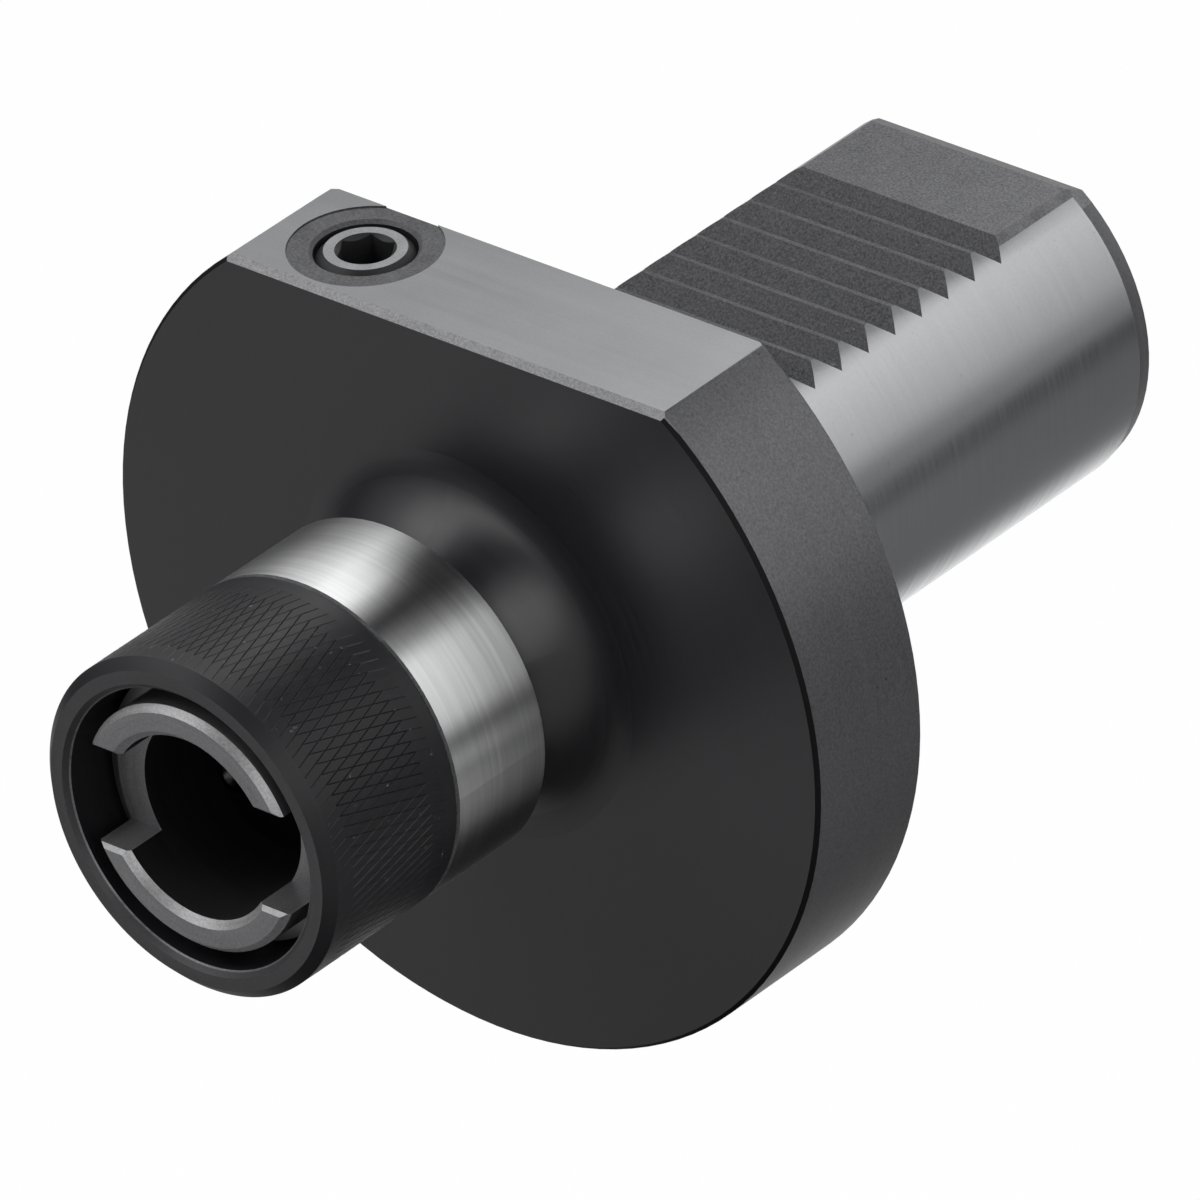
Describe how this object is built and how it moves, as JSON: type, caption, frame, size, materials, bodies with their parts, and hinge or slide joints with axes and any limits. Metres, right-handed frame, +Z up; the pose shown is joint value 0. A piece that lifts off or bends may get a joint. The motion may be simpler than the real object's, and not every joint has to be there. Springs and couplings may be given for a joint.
{
  "type": "quick-change tapping chuck",
  "caption": "Floating tapping chuck on a toothed turret shank, with a flatted flange, a knurled release sleeve and a slotted ball-lock receptacle for tap adapters.",
  "frame": {"origin": "on the chuck's axis, in the rear face of the flange that seats on the turret", "axes": "+Y along the shank away from the flange, the nose points to -Y, +Z up through the flats of flange and shank"},
  "size_m": [0.085, 0.1184, 0.076],
  "materials": {
    "blackened_steel": "black oxide, satin",
    "ground_steel": "fine turned and ground",
    "zinc_steel": "zinc plated",
    "spring_steel": "drawn wire",
    "ball_steel": "polished",
    "bronze": "turned",
    "seal_rubber": "matte"
  },
  "bodies": {
    "holder": {"holder_body": "blackened_steel", "flange_plug_screw": "zinc_steel", "shank_seal_ring": "seal_rubber", "front_wiper_ring": "seal_rubber", "front_guide_bush": "bronze", "drive_bush": "bronze", "bush_dowel": "ground_steel", "plug_seal_ring": "seal_rubber", "shank_end_plug": "blackened_steel", "tension_spring": "spring_steel", "compression_spring": "spring_steel"},
    "floating_spindle": {"spindle": "ground_steel", "drive_key_right": "ground_steel", "drive_key_left": "ground_steel", "spring_collar": "ground_steel", "tail_washer": "ground_steel", "tail_screw": "blackened_steel", "sleeve_retaining_ring": "spring_steel", "spring_seat_washer": "ground_steel", "sleeve_spring": "spring_steel"},
    "sleeve": {"release_sleeve": "blackened_steel"},
    "ball_1": {"locking_ball_1": "ball_steel"},
    "ball_2": {"locking_ball_2": "ball_steel"},
    "ball_3": {"locking_ball_3": "ball_steel"}
  },
  "joints": [
    {"name": "float", "type": "slide", "parent": "holder", "child": "floating_spindle", "axis": [0, -1, 0], "range_m": [-0.0065, 0.0065], "stiffness_N_per_m": 8000, "deforming": ["tension_spring", "compression_spring"]},
    {"name": "sleeve_pull", "type": "slide", "parent": "floating_spindle", "child": "sleeve", "axis": [0, -1, 0], "range_m": [0, 0.003], "stiffness_N_per_m": 3000, "springref_m": -0.003, "deforming": ["sleeve_spring"]},
    {"name": "ball_1_slide", "type": "slide", "parent": "floating_spindle", "child": "ball_1", "axis": [0, 0, 1], "range_m": [0, 0.00105]},
    {"name": "ball_2_slide", "type": "slide", "parent": "floating_spindle", "child": "ball_2", "axis": [-0.866, 0, -0.5], "range_m": [0, 0.00105]},
    {"name": "ball_3_slide", "type": "slide", "parent": "floating_spindle", "child": "ball_3", "axis": [0.866, 0, -0.5], "range_m": [0, 0.00105]}
  ],
  "couplings": [
    {"joint": "ball_1_slide", "follows": "sleeve_pull", "ratio": 0.35},
    {"joint": "ball_2_slide", "follows": "sleeve_pull", "ratio": 0.35},
    {"joint": "ball_3_slide", "follows": "sleeve_pull", "ratio": 0.35}
  ]
}
